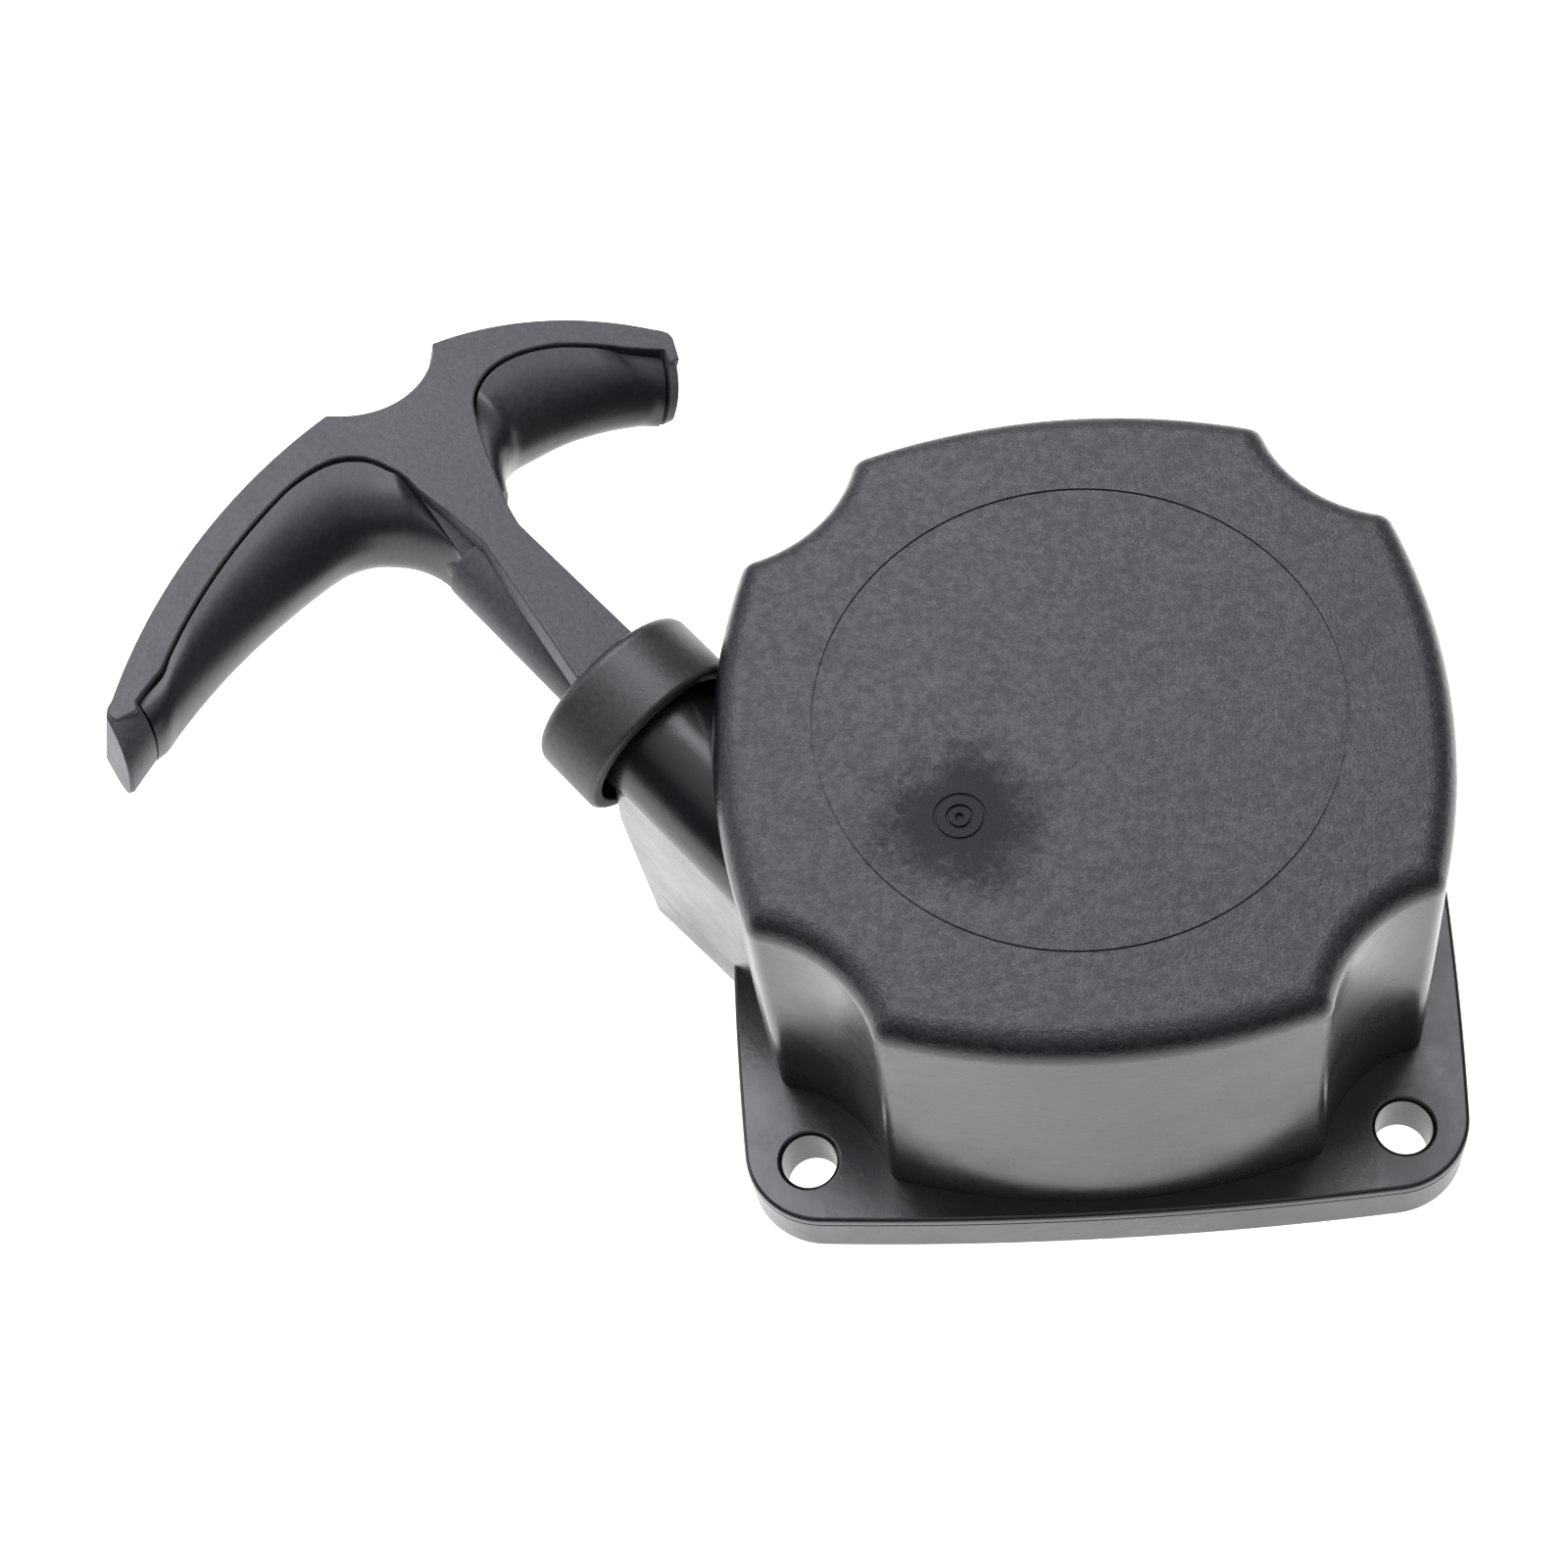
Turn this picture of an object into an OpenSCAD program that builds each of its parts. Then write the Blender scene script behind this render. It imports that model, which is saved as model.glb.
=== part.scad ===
// Recoil starter for a small engine.
// Origin at the centre of the mounting face, +Z out of the dome's top, flange sides along X and Y.

/* [Flange] */
// Length of each side of the square flange
flange_w = 88; // [86:0.5:92]
// Outward bow of each flange side
flange_bow = 1.4; // [1:0.1:2]
// Height of the flange skirt
flange_h = 8.2; // [7:0.1:9]
// Spacing of the four bolt holes
bolt_spacing = 70; // [69:0.5:71]
// Diameter of a bolt hole
bolt_d = 6.6; // [5.5:0.1:7]

/* [Dome] */
// Height of the dome's top over the mounting face
dome_h = 50; // [50:0.5:54]
// Distance of the foot of a dome wall from the centre, at its middle
dome_half = 42.3; // [42:0.1:42.6]
// Radius of the bow of a dome wall
wall_bow_r = 77.5; // [74:0.5:84]
// Distance of a scallop's centre from the middle planes
scallop_at = 40.8; // [40.5:0.1:41]
// Radius of a scallop at its foot
scallop_r = 15.5; // [15.2:0.1:15.7]
// Inward lean of the dome's walls from foot to top
lean = 1; // [0.5:0.1:1.2]
// Radius of the rounded edge round the dome's top
top_r = 3.4; // [3:0.1:4]
// Wall thickness of the moulding
wall = 2.4; // [2:0.1:2.6]

/* [Rope and nozzle] */
// Diameter of the rope
rope_d = 3.5; // [3:0.1:3.6]
// Height of the rope's plane in the reel
rope_z = 33.5; // [33:0.1:34]
// Offset of the rope's line from the centre
rope_off = 31.2; // [31:0.1:31.4]
// Direction of the nozzle in plan, from +X
nozzle_dir = 132.3; // [131:0.1:134]
// Upward tilt of the nozzle
nozzle_tilt = 11.7; // [11:0.1:13]
// Radius of the nozzle's tube
nozzle_r = 8; // [7.5:0.1:8.2]
// Outer radius of the collar
collar_r = 11.4; // [11.2:0.1:11.6]

/* [Handle] */
// Thickness of the handle
handle_t = 14; // [13:0.5:14.5]
// Turn of the handle about the rope in its seat
handle_roll = 14; // [0:1:18]

/* [Reel] */
// Outer radius of the reel
reel_r = 33.6; // [33:0.1:33.8]
// Radius of the post that the reel turns on
post_r = 5.2; // [5:0.1:5.6]
// Running clearance of the reel on its post
reel_fit = 0.06; // [0.03:0.01:0.1]
// Radius of the circle of the pawl pins
pawl_pin_at = 15; // [14.5:0.1:15.5]

/* [Hidden] */

$fn = 64;
black = [0.13, 0.13, 0.14];
soft_black = [0.16, 0.16, 0.17];
steel = [0.66, 0.67, 0.70];
dark_steel = [0.38, 0.39, 0.42];
rope_tint = [0.82, 0.81, 0.76];
brass = [0.76, 0.62, 0.32];

bolt_at = bolt_spacing / 2;
flange_half = flange_w / 2;
rope_r = rope_d / 2;
ceiling_z = dome_h - wall - 0.1;

// Where the level rope bends up into the tilted nozzle, measured along the nozzle's direction
bend_at = 12.75;
// Places along the tilted axis, from the bend
collar_x0 = 25;
collar_x1 = 34.6;
tube_x1 = 31;
plug_x0 = 31.7;
plug_r = 5.6;
core_r = 4.3;
collar_bore_r = 6;
channel_r = 4.5;
box_end = 39.4;
lead_end = 62.9;
spring_z0 = 39.7;
spring_z1 = 46.7;
spring_wall_r = 29.6;
post_z0 = 14.2;

// ---------- outline helpers ----------

function polar(c, r, a) = [c[0] + r * cos(a), c[1] + r * sin(a)];
function arc(c, r, a0, a1, n) = [for (i = [0:n]) polar(c, r, a0 + (a1 - a0) * i / n)];
function swap(p) = [p[1], p[0]];
function turned(v, a) = [for (p = v) [p[0] * cos(a) - p[1] * sin(a), p[0] * sin(a) + p[1] * cos(a)]];
function bearing(from, to) = atan2(to[1] - from[1], to[0] - from[0]);

// Where circles (a, ra) and (b, rb) cross, on the right of the way from a to b
function crossing(a, ra, b, rb) =
    let (d = norm(b - a), x = (d * d + ra * ra - rb * rb) / (2 * d), y = sqrt(ra * ra - x * x), u = (b - a) / d)
    [a[0] + u[0] * x + u[1] * y, a[1] + u[1] * x - u[0] * y];

// An eighth of the dome's outline, from the middle of a wall to the middle of a scallop.
// The scallops lean more than the walls; inset moves both inwards alike.
function dome_octant(leaned, inset, corner) =
    let (a = [dome_half - wall_bow_r, 0], b = [scallop_at, scallop_at], ra = wall_bow_r - leaned - inset,
         rb = scallop_r + 1.5 * leaned + inset, v = crossing(a, ra - corner, b, rb + corner),
         a1 = bearing(a, v), a2 = bearing(v, b))
    concat(arc(a, ra, 0, a1, 4), arc(v, corner, a1 + (a2 - a1) / 3, a2, 2), arc(b, rb, a2 + 176, 225, 3));

// The whole outline of the dome at a share of its height, moved inwards by inset, with rounded corners
function dome_plan(share, inset, corner) =
    let (half = dome_octant(lean * share, inset, corner), n = len(half),
         quarter = concat(half, [for (i = [n - 2:-1:1]) swap(half[i])]))
    [for (k = [0:3]) each turned(quarter, 90 * k)];

// Flange side, bowed about a far centre, with rounded corners
function flange_plan(inset, corner) =
    let (r = 36 * 36 / (2 * flange_bow), a = [flange_half - r, 0], b = [0, flange_half - r],
         v = crossing(b, r - inset - corner, a, r - inset - corner), a1 = bearing(a, v),
         half = concat(arc(a, r - inset, 0, a1, 3), arc(v, corner, a1 + (45 - a1) / 4, 45, 3)), n = len(half),
         quarter = concat(half, [for (i = [n - 2:-1:1]) swap(half[i])]))
    [for (k = [0:3]) each turned(quarter, 90 * k)];

// A solid through level rings, each given as [height, points]
module loft(rings) {
    n = len(rings[0][1]);
    m = len(rings);
    points = [for (ring = rings) each [for (p = ring[1]) [p[0], p[1], ring[0]]]];
    sides = [for (j = [0:m - 2], i = [0:n - 1])
        [j * n + i, (j + 1) * n + i, (j + 1) * n + (i + 1) % n, j * n + (i + 1) % n]];
    polyhedron(points, concat([[for (i = [0:n - 1]) i]], sides, [[for (i = [n - 1:-1:0]) (m - 1) * n + i]]));
}

// ---------- placing helpers ----------

// The rope's level line: +X along the pull, +Y outwards from the centre
module level_frame() {
    rotate([0, 0, nozzle_dir]) translate([0, rope_off, 0]) children();
}

// The tilted line of the nozzle, from the bend
module pull_frame() {
    level_frame() translate([bend_at, 0, rope_z]) rotate([0, -nozzle_tilt, 0]) children();
}

module handle_place() {
    pull_frame() rotate([handle_roll, 0, 0]) children();
}

module rod(x0, x1, r) {
    translate([x0, 0, 0]) rotate([0, 90, 0]) cylinder(h = x1 - x0, r = r);
}

module tube(z0, z1, r_out, r_in) {
    difference() {
        translate([0, 0, z0]) cylinder(h = z1 - z0, r = r_out);
        translate([0, 0, z0 - 1]) cylinder(h = z1 - z0 + 2, r = r_in);
    }
}

module at_corners() {
    for (x = [-1, 1], y = [-1, 1]) translate([x * bolt_at, y * bolt_at, 0]) children();
}

// ---------- housing ----------

module dome_solid() {
    fillet = [for (t = [0:18:90]) [dome_h - top_r + top_r * sin(t), top_r * (1 - cos(t))]];
    loft(concat([[0.3, dome_plan(0, 0, 2.2)]], [for (f = fillet) [f[0], dome_plan(1, f[1], 2.2 - f[1] * 0.4)]]));
}

module nozzle_solid() {
    section = [[-nozzle_r, 0], [-6.3, -48], [6.3, -48], [nozzle_r, 0]];
    pull_frame() rod(-4, tube_x1, nozzle_r);
    intersection() {
        pull_frame() translate([-4, 0, 0]) rotate([90, 0, 90]) linear_extrude(collar_x0 - 0.3 + 4) polygon(section);
        level_frame() translate([4, -20, 0]) cube([box_end - 4, 40, dome_h]);
    }
}

module nozzle_hollow() {
    section = [[-nozzle_r + wall, -12], [-6.3 + wall, -60], [6.3 - wall, -60], [nozzle_r - wall, -12]];
    intersection() {
        pull_frame() rotate([90, 0, 90]) linear_extrude(collar_x0) polygon(section);
        level_frame() translate([20, -20, -1]) cube([box_end - 20 - wall, 40, dome_h]);
    }
}

module flange_pocket() {
    difference() {
        translate([0, 0, -1]) linear_extrude(flange_h - 3 + 1) polygon(flange_plan(wall, 7));
        translate([0, 0, -2]) linear_extrude(flange_h) polygon(dome_plan(0, -0.8, 2.2));
        at_corners() translate([0, 0, -2]) cylinder(h = flange_h, r = 6.2);
        pull_frame() translate([-10, -nozzle_r - 1, -60]) cube([60, 2 * nozzle_r + 2, 60]);
    }
}

module cavity() {
    translate([0, 0, -1]) linear_extrude(ceiling_z + 1) polygon(dome_plan(1, wall, 1.2));
}

module housing() {
    color(black) {
        difference() {
            union() {
                dome_solid();
                linear_extrude(flange_h) polygon(flange_plan(0, 9.5));
                nozzle_solid();
            }
            cavity();
            flange_pocket();
            nozzle_hollow();
            pull_frame() rod(2, tube_x1 + 1, channel_r);
            at_corners() translate([0, 0, -1]) cylinder(h = flange_h + 2, r = bolt_d / 2);
            tube(dome_h - 0.35, dome_h + 1, spring_wall_r + 0.2, spring_wall_r - 0.2);
        }
        difference() {
            union() {
                tube(spring_z0 - 1.2, ceiling_z + 0.5, 32, 29.9);
                translate([0, 0, post_z0]) cylinder(h = ceiling_z - post_z0 + 0.5, r = post_r);
                for (a = [30:120:270]) rotate([0, 0, a]) translate([31, 0, spring_z0 - 1.2])
                    cylinder(h = ceiling_z - spring_z0 + 1.7, r = 2.6);
            }
            translate([0, 0, post_z0 - 1]) cylinder(h = 15, r = 3.4);
            for (a = [30:120:270]) rotate([0, 0, a]) translate([31, 0, spring_z0 - 2])
                cylinder(h = 7, r = 1.05);
        }
    }
}

module collar() {
    color(soft_black) pull_frame() rotate([0, 90, 0]) rotate_extrude() difference() {
        offset(r = 1.4) offset(delta = -1.4) translate([collar_bore_r - 3, collar_x0])
            square([collar_r - collar_bore_r + 3, collar_x1 - collar_x0]);
        translate([0, collar_x0 - 1]) square([collar_bore_r, 12]);
        translate([0, collar_x0 - 1]) square([collar_r - 1.8, tube_x1 - collar_x0 + 1.3]);
    }
}

module rope_bush() {
    color(steel) pull_frame() rotate([0, 90, 0]) rotate_extrude() polygon([[2.2, 27.4], [2.2, 30.2], [3, 31],
        [3.4, 31.3], [5.5, 31.3], [5.5, 31.05], [channel_r - 0.02, 31.05], [channel_r - 0.02, 26.6], [3, 26.6]]);
}

// ---------- handle, in its own plane: +X along the pull, +Y towards the long arm ----------

// Outer and inner arcs of the two arms, as [centre, radius]
long_out = [[-7.3, -2], 88];
long_in = [[-29.5, 10.8], 95];
short_out = [[40.7, -4.6], 41.3];
short_in = [[27.2, -12.7], 37.8];
rim = 3.8;

frame_outline = concat(
    [[collar_x1 + 0.3, -3.5], [54.9, -3.1], [57.5, -3.8], [60.7, -5.1], [66.3, -7.6], [70.9, -10.3], [73.1, -13],
        [74.2, -16.1]],
    arc(short_out[0], short_out[1] - rim, -25.5, -46.5, 7),
    [[64.1, -35], [59.2, -32.8], [58.2, -34.6], [64.6, -38]],
    arc(short_out[0], short_out[1], -51, -11, 10),
    arc([89.3, -3.5], 12.2, -132.6 - 6, -222 + 6, 8),
    arc(long_out[0], long_out[1], 4.6, 36.4, 14),
    [[60.2, 52.2], [56.4, 52.9], [57.2, 49.4], [59.6, 47.6], [62.9, 46.9]],
    arc(long_out[0], long_out[1] - rim - 0.1, 32.4, 8.6, 12),
    [[75.2, 8.6], [73.5, 5.9], [70.7, 4.1], [68.3, 3.3], [65.3, 3.2], [61.2, 2.6], [55.5, 2], [collar_x1 + 0.3, 6]]);

// Long grip: points on its seam with the frame, and the matching points on its underside, from tip to root
long_seam = concat([[62.3, 46.1]], arc(long_out[0], long_out[1] - rim - 0.5, 32.4, 8.6, 12),
    [[74.4, 8.6], [72.8, 6.5], [70.3, 4.9], [67.6, 4.3], [64.2, 4.4], [60.6, 4.9]]);
long_under = concat([[58.9, 46.4]], arc(long_in[0], long_in[1], 21.3, 3, 12), arc([57.2, 12.9], 8.2, -6, -74, 5));

// Short grip, the same way
short_seam = concat([[63.2, -34.3]], arc(short_out[0], short_out[1] - rim - 0.45, -45, -25.5, 8),
    [[73.6, -16.4], [72.6, -13.4], [70.5, -10.9], [66, -8.2], [61.4, -6]]);
short_under = concat([[59.6, -31.8]], arc(short_in[0], short_in[1], -29, -8, 8), arc([58.6, -13.8], 6.4, -2, 70, 4));

// How far the handle reaches below its middle plane: it thins towards both tips
function depth_at(y) = handle_t / 2 - max(0, y - 18) * 0.12 - max(0, -16 - y) * 0.13;

// Cross-section of a grip: flat at the seam point, round at the underside point
function grip_section(seam, under, h) =
    [for (a = [-90:15:90]) let (f = pow(cos(a), 0.75), p = seam + (under - seam) * f, low = depth_at(seam[1]) - 0.4)
        [p[0], p[1], (a < 0 ? -min(h, low) : h) * pow(abs(sin(a)), 0.85)]];

// A solid through sections that follow each other
module skin(sections) {
    n = len(sections[0]);
    m = len(sections);
    points = [for (section = sections) each section];
    sides = [for (j = [0:m - 2], i = [0:n - 1])
        [j * n + i, j * n + (i + 1) % n, (j + 1) * n + (i + 1) % n, (j + 1) * n + i]];
    polyhedron(points, concat([[for (i = [n - 1:-1:0]) i]], sides, [[for (i = [0:n - 1]) (m - 1) * n + i]]));
}

module grip(seam, under, flip) {
    n = len(seam);
    h = handle_t / 2 - 0.4;
    order = flip ? [n - 1:-1:0] : [0:n - 1];
    color(soft_black) handle_place()
        skin([for (i = order) grip_section(seam[i], under[i],
            h - 0.9 * pow(1 - min(i, 4) / 4, 2) - max(0, i - n + 3.8))]);
}

module handle_frame() {
    color(black) handle_place() difference() {
        union() {
            difference() {
                intersection() {
                    translate([0, 0, -handle_t / 2]) linear_extrude(handle_t) polygon(frame_outline);
                    rotate([90, 0, 90]) linear_extrude(90)
                        polygon(concat([for (y = [-45, -16, 18, 56]) [y, -depth_at(y)]],
                            [[56, handle_t], [-45, handle_t]]));
                }
                translate([30, -12, -8]) cube([25.4, 24, 10.6]);
            }
            rod(plug_x0, collar_x1 + 0.4, plug_r);
            rod(collar_x1 + 0.3, 66, core_r);
        }
        rod(plug_x0 - 1, 66, rope_r + 0.25);
        rod(62, 71, 4.2);
        translate([62, -4.2, -handle_t]) cube([9, 8.4, handle_t]);
    }
}

module grip_long() {
    grip(long_seam, long_under, false);
}

module grip_short() {
    grip(short_seam, short_under, true);
}

module handle_knot() {
    color(rope_tint) handle_place() difference() {
        translate([64.9, 0, 0]) sphere(r = 3.4, $fn = 32);
        rod(60, lead_end + 0.01, rope_r);
    }
}

// ---------- rope ----------

module rope_lead() {
    color(rope_tint) pull_frame() rod(19, lead_end, rope_r);
}

module rope_run() {
    color(rope_tint) {
        level_frame() translate([0, 0, rope_z]) rod(-6, bend_at + 0.3, rope_r - 0.02);
        pull_frame() rod(-0.3, 18.7, rope_r);
    }
}

// Flat spiral of half turns whose radius falls by step at each half turn
module half_turns(r0, step, count) {
    for (i = [0:count - 1]) translate([-(i % 2) * step, 0, 0]) rotate([0, 0, 180 * i])
        rotate_extrude(angle = 180) translate([r0 - i * step, 0]) children();
}

wound_r0 = rope_off - rope_d - 0.2;
wound_step = (rope_d + 0.1) / 2;
wound_halves = 8;
floor_r = wound_r0 - wound_halves * wound_step - rope_r - 0.15;
reel_knot_at = 8.8;

// The rope's outer end in the reel, where the level line leaves it
module wound_frame() {
    rotate([0, 0, nozzle_dir + 90]) translate([0, 0, rope_z]) children();
}

module rope_wound() {
    color(rope_tint) wound_frame() {
        half_turns(wound_r0, wound_step, wound_halves) circle(r = rope_r, $fn = 24);
        rod(floor_r - 0.3, wound_r0 - wound_halves * wound_step, rope_r - 0.15);
    }
}

module reel_knot() {
    color(rope_tint) wound_frame() difference() {
        translate([reel_knot_at, 0, 0]) sphere(r = 2.3, $fn = 32);
        rod(floor_r - 0.31, 14, rope_r - 0.14);
    }
}

// ---------- reel ----------

module reel() {
    half = rope_d / 2 + 0.4;
    bore = post_r + reel_fit;
    color(soft_black) difference() {
        rotate_extrude() polygon([[bore, 19.4], [9, 19.4], [9, 25.6], [20, 25.6], [20, 28.6],
            [reel_r, rope_z - half - 1.8], [reel_r, rope_z - half - 0.4], [floor_r, rope_z - half], [floor_r, rope_z + half],
            [reel_r, rope_z + half + 0.4], [reel_r, rope_z + half + 1.4], [14, rope_z + half + 1.85],
            [9, rope_z + half + 1.85], [9, spring_z1 - 0.2], [bore, spring_z1 - 0.2]]);
        wound_frame() translate([reel_knot_at, 0, 0]) sphere(r = 2.45, $fn = 32);
        wound_frame() rod(reel_knot_at, floor_r + 1, rope_r + 0.1);
        for (a = [0, 180]) rotate([0, 0, a]) translate([pawl_pin_at, 0, 20]) cylinder(h = 8, r = 1.5);
        rotate([0, 0, 180]) translate([7.6, -0.6, spring_z0]) cube([2, 1.2, 8]);
    }
}

module power_spring() {
    height = spring_z1 - spring_z0;
    color(dark_steel) translate([0, 0, spring_z0]) {
        mirror([0, 1, 0]) half_turns(27.7, 1.02, 17) square([0.5, height]);
        translate([-11.7, -0.25, 0]) cube([2.65, 0.5, height]);
    }
}

module spring_cover() {
    color(steel) difference() {
        tube(spring_z0 - 1.9, spring_z0 - 1.25, 34, 9.6);
        for (a = [30:120:270]) rotate([0, 0, a]) translate([31, 0, 30]) cylinder(h = 12, r = 1.35);
    }
}

module cover_screws() {
    color(steel) for (a = [30:120:270]) rotate([0, 0, a]) translate([31, 0, 0]) {
        translate([0, 0, spring_z0 - 2.1]) cylinder(h = 6.7, r = 1.03);
        translate([0, 0, spring_z0 - 2.4]) cylinder(h = 0.48, r = 2.1);
    }
}

module thrust_washer() {
    color(steel) tube(spring_z1 - 0.1, ceiling_z - 0.05, 9, post_r + 0.2);
}

// ---------- pawls and drive plate ----------

pawl_swing = 26;
plate_swing = 24;
peg_at = [9.2, 2.2];
peg_r = 1.4;

module pawl(side) {
    color(dark_steel) rotate([0, 0, side]) mirror([0, 1, 0]) translate([pawl_pin_at, 0, 20]) {
        difference() {
            linear_extrude(5) polygon(concat(arc([0, 0], 3.6, 170, 350, 10), [[4.1, 3.4], [4.5, 8.6], [5.4, 13.6],
                [3.2, 14.6], [0.9, 12.6], [-1.4, 8.4], [-3.2, 3.6]]));
            translate([0, 0, -1]) cylinder(h = 7, r = 1.56);
        }
        translate([peg_at[1], peg_at[0], -2.2]) cylinder(h = 2.3, r = peg_r);
    }
}

module pawl_a() {
    pawl(0);
}

module pawl_b() {
    pawl(180);
}

module pawl_pins() {
    color(steel) for (a = [0, 180]) rotate([0, 0, a]) translate([pawl_pin_at, 0, 19.3]) {
        cylinder(h = 8, r = 1.49);
        cylinder(h = 0.5, r = 2.6);
    }
}

// Place of a pawl's peg in the drive plate's own frame, after share t of the swing, before mirroring
function peg_in_plate(t) =
    let (a = -pawl_swing * t, x = pawl_pin_at + peg_at[1] * cos(a) - peg_at[0] * sin(a),
         y = peg_at[1] * sin(a) + peg_at[0] * cos(a))
    turned([[x, y]], plate_swing * t)[0];

module drive_plate() {
    color(steel) mirror([0, 1, 0]) difference() {
        union() {
            tube(17.9, 18.9, 12.5, post_r + 0.15);
            for (a = [0, 180]) rotate([0, 0, a]) translate([0, 0, 17.9]) linear_extrude(1) hull() {
                for (t = [0:0.5:1]) translate(peg_in_plate(t)) circle(r = peg_r + 2.4, $fn = 32);
                translate(0.45 * peg_in_plate(0.5)) circle(r = 3.6, $fn = 32);
            }
        }
        for (a = [0, 180]) rotate([0, 0, a]) for (t = [0:0.5:0.5]) translate([0, 0, 17]) linear_extrude(3) hull() {
            translate(peg_in_plate(t)) circle(r = peg_r + 0.35, $fn = 32);
            translate(peg_in_plate(t + 0.5)) circle(r = peg_r + 0.35, $fn = 32);
        }
        translate([0, 0, 17]) cylinder(h = 3, r = post_r + 0.15);
    }
}

module brake_spring() {
    color(dark_steel) rotate_extrude() for (i = [0:4])
        translate([7 + 0.3 * i, 14.66 + 0.68 * i]) circle(r = 0.45, $fn = 16);
}

module centre_washer() {
    color(steel) tube(13, post_z0 - 0.02, 10, 2.7);
}

module centre_screw() {
    color(dark_steel) difference() {
        union() {
            translate([0, 0, 12.98 - 3]) cylinder(h = 3, r = 4.8);
            translate([0, 0, 12.9]) cylinder(h = 14, r = 2.45);
        }
        translate([0, 0, 9]) cylinder(h = 2.8, r = 2.3, $fn = 6);
    }
}

module screw_insert() {
    color(brass) tube(post_z0 + 0.3, post_z0 + 13.5, 3.38, 2.47);
}

housing();
collar();
rope_bush();
handle_frame();
grip_long();
grip_short();
handle_knot();
rope_lead();
rope_run();
rope_wound();
reel_knot();
reel();
power_spring();
spring_cover();
cover_screws();
thrust_washer();
pawl_a();
pawl_b();
pawl_pins();
drive_plate();
brake_spring();
centre_washer();
centre_screw();
screw_insert();
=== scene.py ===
"""Recoil starter for a small engine: moulded housing, collar, T handle, rope, reel and pawl drive."""

import sys
import logging
import math
from collections.abc import Callable, Sequence
from dataclasses import dataclass, field
from enum import Enum

import bmesh
import bpy
from mathutils import Matrix, Vector


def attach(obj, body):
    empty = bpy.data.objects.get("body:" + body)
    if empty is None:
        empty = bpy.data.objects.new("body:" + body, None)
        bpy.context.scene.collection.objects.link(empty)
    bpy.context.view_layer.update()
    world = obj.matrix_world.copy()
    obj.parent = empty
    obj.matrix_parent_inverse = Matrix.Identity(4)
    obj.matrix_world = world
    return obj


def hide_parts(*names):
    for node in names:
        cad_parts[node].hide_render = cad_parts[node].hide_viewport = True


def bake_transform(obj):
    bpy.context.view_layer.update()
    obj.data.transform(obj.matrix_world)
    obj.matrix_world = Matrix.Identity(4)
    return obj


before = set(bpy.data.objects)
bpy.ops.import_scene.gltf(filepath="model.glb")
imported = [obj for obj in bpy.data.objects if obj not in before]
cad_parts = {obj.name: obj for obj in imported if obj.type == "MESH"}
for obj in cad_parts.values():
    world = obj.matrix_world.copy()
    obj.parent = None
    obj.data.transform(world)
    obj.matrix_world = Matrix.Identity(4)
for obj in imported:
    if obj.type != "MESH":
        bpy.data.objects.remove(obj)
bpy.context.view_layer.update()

MM = 0.001

log = logging.getLogger("recoil_starter")

Point = tuple[float, float]
Ring = list[bmesh.types.BMVert]
Colour = tuple[float, float, float]


# ---------------------------------------------------------------- plan geometry


def polar(centre: Point, radius: float, angle: float) -> Point:
    """The point at an angle in degrees on a circle."""
    turn = math.radians(angle)
    return centre[0] + radius * math.cos(turn), centre[1] + radius * math.sin(turn)


def arc(centre: Point, radius: float, start: float, end: float, count: int) -> list[Point]:
    """Evenly spaced points on an arc.

    Args:
        centre: Middle of the circle, in millimetres.
        radius: Its radius.
        start: First angle in degrees.
        end: Last angle in degrees.
        count: Number of steps between the two.

    Returns:
        count + 1 points, both ends included.
    """
    return [polar(centre, radius, start + (end - start) * i / count) for i in range(count + 1)]


def bearing(start: Point, end: Point) -> float:
    """Direction from one point to another, in degrees."""
    return math.degrees(math.atan2(end[1] - start[1], end[0] - start[0]))


def crossing(a: Point, ra: float, b: Point, rb: float) -> Point:
    """Where two circles cross, on the right of the way from a to b."""
    d = math.dist(a, b)
    x = (d * d + ra * ra - rb * rb) / (2 * d)
    y = math.sqrt(ra * ra - x * x)
    u = ((b[0] - a[0]) / d, (b[1] - a[1]) / d)
    return a[0] + u[0] * x + u[1] * y, a[1] + u[1] * x - u[0] * y


def four_quarters(half: Sequence[Point]) -> list[Point]:
    """Mirrors an eighth of an outline about the diagonal and turns it round the centre four times."""
    quarter = list(half) + [(y, x) for x, y in half[-2:0:-1]]
    outline = []
    for k in range(4):
        c, s = round(math.cos(math.pi / 2 * k)), round(math.sin(math.pi / 2 * k))
        outline += [(x * c - y * s, x * s + y * c) for x, y in quarter]
    return outline


def smooth_path(points: Sequence[Point], steps: int) -> list[Point]:
    """Passes a Catmull-Rom curve through points, with a number of steps between neighbours."""
    ends = [points[0], *points, points[-1]]
    path = []
    for i in range(1, len(ends) - 2):
        p0, p1, p2, p3 = (Vector(p) for p in ends[i - 1:i + 3])
        for k in range(steps):
            t = k / steps
            p = 0.5 * (2 * p1 + (p2 - p0) * t + (2 * p0 - 5 * p1 + 4 * p2 - p3) * t * t
                       + (3 * p1 - p0 - 3 * p2 + p3) * t ** 3)
            path.append((p.x, p.y))
    path.append(tuple(points[-1]))
    return path


# ---------------------------------------------------------------- solids


class Join(Enum):
    """How one solid acts on another."""

    ADD = "UNION"
    CUT = "DIFFERENCE"


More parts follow.
